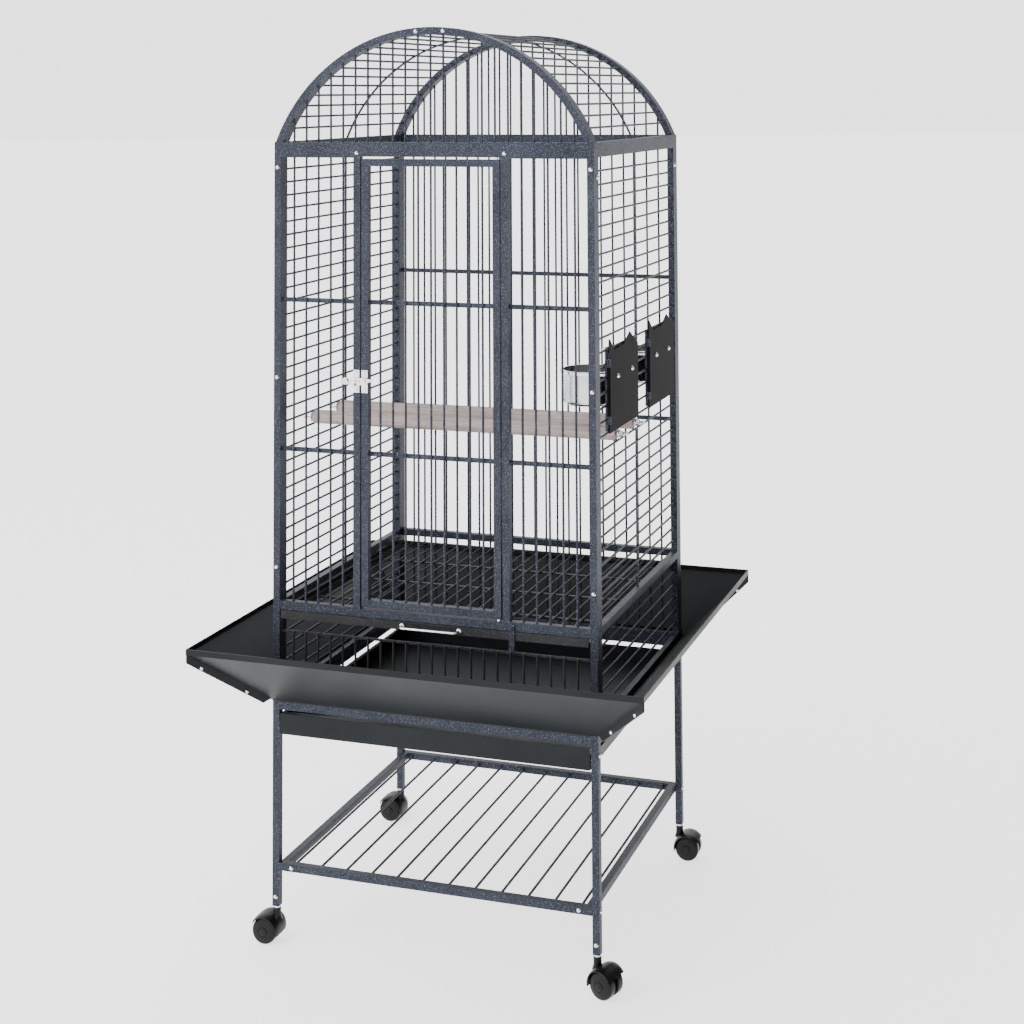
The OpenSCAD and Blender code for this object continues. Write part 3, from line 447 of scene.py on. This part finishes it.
def make_caster(corner):
    swivel, roll = JOINTS["swivel_" + corner], JOINTS["roll_" + corner]
    hub, axle = Vector(roll["pos_m"]), Vector(roll["axis"]).normalized()
    stem = Vector(swivel["pos_m"])
    radius = hub.z
    out = Vector((hub.x - stem.x, hub.y - stem.y, 0)).normalized()
    up = Vector((0, 0, 1))
    low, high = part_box("wheels_rear_right")
    half = (high[1] - low[1]) / 2

    mesh = bmesh.new()
    for side in (-1, 1):
        lathe(mesh, wheel_profile(radius, WEB_HALF + WHEEL_GAP, half), hub, axle * side)
    lathe(mesh, [(AXLE_RADIUS, -WEB_HALF - WHEEL_GAP), (AXLE_RADIUS, WEB_HALF + WHEEL_GAP)], hub, axle)
    piece_from("twin_wheels_" + corner, mesh, "wheels_" + corner, "wheel_plastic", "wheels_" + corner)

    # Hood: a crowned band over the wheels, and the web between them
    mesh = bmesh.new()
    hood = radius + HOOD_OVER_WHEEL
    rings = []
    for k in range(AROUND_STEPS + 1):
        a = math.radians(HOOD_START + (HOOD_END - HOOD_START) * k / AROUND_STEPS)
        ray = out * math.cos(a) + up * math.sin(a)
        outer, inner = [], []
        for n in range(ACROSS_STEPS + 1):
            t = 2 * n / ACROSS_STEPS - 1
            drop = HOOD_CROWN * t ** 4
            outer.append(hub + ray * (hood - drop) + axle * (half * t))
            inner.append(hub + ray * (hood - HOOD_THICK - 0.7 * drop) + axle * ((half - 0.2 * MM) * t))
        rings.append(outer + inner[::-1])
    loft(mesh, rings)
    web = arc((0, 0), hood - HOOD_THICK / 2, HOOD_START, HOOD_END, AROUND_STEPS)
    web += [(-0.35 * radius, -0.26 * radius), (0.3 * radius, -0.26 * radius)]
    bore = ring(BORE_RADIUS)
    plate(mesh, web, [bore], lambda u, v, w: hub + out * u + up * v + axle * w, -WEB_HALF, WEB_HALF)
    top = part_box("caster_" + corner)[1][2]
    foot = radius + 0.62 * hood
    lathe(mesh, [(BOSS_RADIUS + 2.6 * MM, foot), (BOSS_RADIUS + 1.5 * MM, foot + 3 * MM),
                 (BOSS_RADIUS + 0.4 * MM, foot + 6.5 * MM), (BOSS_RADIUS, foot + 9 * MM),
                 (BOSS_RADIUS, top - 1 * MM), (BOSS_RADIUS - 0.8 * MM, top),
                 (STEM_BORE, top), (STEM_BORE, foot)], (stem.x, stem.y, 0), up)
    piece_from("caster_hood_" + corner, mesh, "caster_" + corner, "caster_plastic", "caster_" + corner)


# ---------- Small fittings ----------

PULL_BEND = 8 * MM
BEND_STEPS = 10


def make_pull():
    """Bent wire loop on the front of the grate."""
    low, high = (Vector(v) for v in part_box("grate_pull"))
    thick = (high.z - low.z) / 2
    x, front, back, z = high.x - thick, low.y + thick, high.y, (low.z + high.z) / 2
    bend = PULL_BEND
    corner = [(x - bend + bend * math.cos(a), front + bend - bend * math.sin(a))
              for a in (math.radians(90 * k / BEND_STEPS) for k in range(BEND_STEPS + 1))]
    half = [(x, back), (x, (back + front + bend) / 2), *corner]
    path = half + [(-u, v) for u, v in reversed(half)]
    mesh = bmesh.new()
    tube(mesh, [Vector((u, v, z)) for u, v in path], thick)
    for side in (-1, 1):
        lathe(mesh, [(thick + 2 * MM, 0), (thick + 2 * MM, 0.8 * MM), (thick, 1.6 * MM)],
              (side * x, back, z), (0, -1, 0), steps=24)
    piece_from("pull_loop", mesh, "grate", "zinc", "grate_pull")


LEVER_THICK = 3 * MM
LEVER_STUD_SLOT = 3.2 * MM
LEVER_EYE = 7 * MM
LEVER_EYE_HOLE = 2.6 * MM
LEVER_HALF = 5.5 * MM
LEVER_CHIN = 8.6 * MM
LEVER_KNOB = 6.5 * MM
LEVER_BEVEL = 0.35 * MM


def make_lever():
    """Latch bar: pivot eye, slotted middle, hook over the stud, knob at the left, tail at the right."""
    low, high = (Vector(v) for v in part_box("latch_lever"))
    pivot = Vector(JOINTS["latch_turn"]["pos_m"])
    keeper = [Vector(v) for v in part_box("latch_keeper")]
    span = pivot.x - (keeper[0].x + keeper[1].x) / 2
    reach = pivot.x - low.x
    depths = (0, -5 * MM, -LEVER_CHIN)
    outer, inner = ([(-math.sqrt(r ** 2 - v * v), v) for v in depths]
                    for r in (span + LEVER_STUD_SLOT, span - LEVER_STUD_SLOT))
    tail = [(9 * MM, -1 * MM), (17 * MM, 1.5 * MM), (18 * MM, 3.5 * MM), (17 * MM, 5 * MM),
            (9 * MM, 5 * MM)]
    top = [(-span - 8 * MM, 6 * MM), (-reach + 10 * MM, 4 * MM)]
    bottom = [(-reach + 10 * MM, -4 * MM), (-span - 9 * MM, -LEVER_CHIN)]
    outline = [(-4 * MM, -LEVER_HALF), *arc((0, 0), LEVER_EYE, -60, -15, 4), *tail,
               *arc((0, 0), LEVER_EYE, 60, 80, 3), *top, *bottom, *reversed(outer),
               *arc((-span, 0), LEVER_STUD_SLOT, 170, 10, 8), *inner[1:],
               (-span + 7 * MM, -LEVER_CHIN), (-span + 9 * MM, -LEVER_HALF)]
    slot = [(-span + 8 * MM, -1.8 * MM), (-8 * MM, -1.8 * MM), (-6.5 * MM, 0), (-8 * MM, 1.8 * MM),
            (-span + 8 * MM, 1.8 * MM), (-span + 6.5 * MM, 0)]
    mesh = bmesh.new()

    def place(u, v, w):
        return Vector((pivot.x + u, high.y - w, pivot.z + v))

    plate(mesh, outline, [slot, ring(LEVER_EYE_HOLE)], place, 0, LEVER_THICK)
    knob = (pivot.x - reach + LEVER_KNOB, high.y, pivot.z)
    lathe(mesh, [(5.2 * MM, LEVER_THICK - 0.1 * MM), (LEVER_KNOB, LEVER_THICK + 0.8 * MM),
                 (LEVER_KNOB, LEVER_THICK + 2 * MM), (5.4 * MM, LEVER_THICK + 2.9 * MM),
                 (2 * MM, LEVER_THICK + 3 * MM), (0.1 * MM, LEVER_THICK + 3 * MM)], knob, (0, -1, 0), steps=32)
    lathe(mesh, [(6.4 * MM, 0.2 * MM), (6.4 * MM, LEVER_THICK)], knob, (0, -1, 0), steps=32)
    soften(piece_from("latch_bar", mesh, "latch", "chrome", "latch_lever"), LEVER_BEVEL)


WING_REACH = 16 * MM
WING_HALF_THICK = 1.2 * MM
WING_BEVEL = 0.3 * MM
THREAD_RADIUS = 3 * MM
THREAD_DEPTH = 0.35 * MM
THREAD_PITCH = 0.5 * MM


def make_wing_nuts():
    """Washer, bolt end and wing nut at both ends of both perches."""
    high = Vector(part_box("perch_fixings")[1])
    outline = [(3.5 * MM, 2.5 * MM), (9 * MM, 4.5 * MM), (13 * MM, 8.5 * MM), (14.6 * MM, 12 * MM),
               (13.6 * MM, 14.4 * MM), (11 * MM, 14.4 * MM), (7.5 * MM, 11 * MM), (3.5 * MM, 7.5 * MM)]
    thread = [(THREAD_RADIUS - (k % 2) * THREAD_DEPTH, -6 * MM + k * THREAD_PITCH) for k in range(43)]
    mesh = bmesh.new()
    for rod in ("perch_front_rod", "perch_rear_rod"):
        a, b = (Vector(v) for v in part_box(rod))
        y, z = (a.y + b.y) / 2, (a.z + b.z) / 2
        for side in (-1, 1):
            out = Vector((side, 0, 0))
            foot = Vector((side * (high.x - WING_REACH), y, z))
            lathe(mesh, [(3.2 * MM, 0), (9.2 * MM, 0), (9.5 * MM, 0.3 * MM), (9.5 * MM, 1.1 * MM),
                         (8.9 * MM, 1.5 * MM), (3.2 * MM, 1.5 * MM)], foot, out)
            lathe(mesh, [(6.2 * MM, 1.5 * MM), (6.2 * MM, 2.6 * MM), (5.0 * MM, 5.5 * MM),
                         (4.6 * MM, 8.5 * MM), (3.1 * MM, 8.7 * MM)], foot, out, steps=32)
            lathe(mesh, thread + [(2 * MM, WING_REACH)], foot, out, steps=24)
            for wing in (-1, 1):

                def place(u, v, w, foot=foot, out=out, wing=wing):
                    return foot + out * v + Vector((0, wing * u, w))

                plate(mesh, outline, [], place, -WING_HALF_THICK, WING_HALF_THICK)
    soften(piece_from("wing_nuts", mesh, "cage", "zinc", "perch_fixings"), WING_BEVEL)


# ---------- Studio ----------

FLOOR_SIZE = 400.0
FLOOR_COLOUR = (0.60, 0.60, 0.60)
FLOOR_GLOW = 1.75
SKY_STRENGTH = 2.6
SHADE_START, SHADE_END, SHADE = 0.0, 0.45, 0.12
KEY_PLACE = (-2.6, -3.0, 3.0)
KEY_TARGET = (0, 0, 0.8)
KEY_SIZE = (2.2, 2.2)
KEY_POWER = 110


def make_floor():
    bpy.ops.mesh.primitive_plane_add(size=FLOOR_SIZE, location=(0, 0, 0))
    floor = bpy.context.object
    floor.name = "studio_floor"
    s = Shader("studio_floor", Specular_IOR_Level=0.1, Emission_Strength=FLOOR_GLOW)
    s.surface.inputs["Emission Color"].default_value = (*WHITE, 1)
    paler = tuple(c * 1.01 for c in FLOOR_COLOUR)
    s.colour(s.ramp(s.noise(1.5, 2), [(NOISE_LOW, FLOOR_COLOUR), (NOISE_HIGH, paler)]))
    s.surface.inputs["Roughness"].default_value = 0.8
    dress(floor, s.material)


def make_light(name, place, target, size, power):
    data = bpy.data.lights.new(name, "AREA")
    data.shape = "RECTANGLE"
    data.size, data.size_y = size
    data.energy = power
    light = bpy.data.objects.new(name, data)
    bpy.context.scene.collection.objects.link(light)
    light.location = place
    light.rotation_euler = (Vector(target) - Vector(place)).to_track_quat("-Z", "Y").to_euler()


def make_sky():
    """White sky, darker towards +X so that the right sides of the tubes stay dark."""
    world = bpy.data.worlds.new("studio")
    world.use_nodes = True
    nodes, links = world.node_tree.nodes, world.node_tree.links
    place = nodes.new("ShaderNodeTexCoord")
    split = nodes.new("ShaderNodeSeparateXYZ")
    shade = nodes.new("ShaderNodeMapRange")
    shade.interpolation_type = "SMOOTHSTEP"
    limits = {"From Min": SHADE_START, "From Max": SHADE_END,
              "To Min": SKY_STRENGTH, "To Max": SKY_STRENGTH * SHADE}
    for name, value in limits.items():
        shade.inputs[name].default_value = value
    links.new(place.outputs["Generated"], split.inputs["Vector"])
    links.new(split.outputs["X"], shade.inputs["Value"])
    nodes["Background"].inputs["Color"].default_value = (*WHITE, 1)
    links.new(shade.outputs["Result"], nodes["Background"].inputs["Strength"])
    bpy.context.scene.world = world


def make_studio():
    make_floor()
    make_sky()
    make_light("key", KEY_PLACE, KEY_TARGET, KEY_SIZE, KEY_POWER)


# ---------- Assembly ----------

make_camera()
make_studio()
MATERIALS = make_materials()
JOINTS = {joint["name"]: joint for joint in frame["joints"]}
CORNERS = ("front_left", "front_right", "rear_left", "rear_right")
for node_name, node in NODES.items():
    dress(node, MATERIALS[SLOT_OF[node_name]])
for corner_name in CORNERS:
    make_caster(corner_name)
make_pull()
make_lever()
make_wing_nuts()
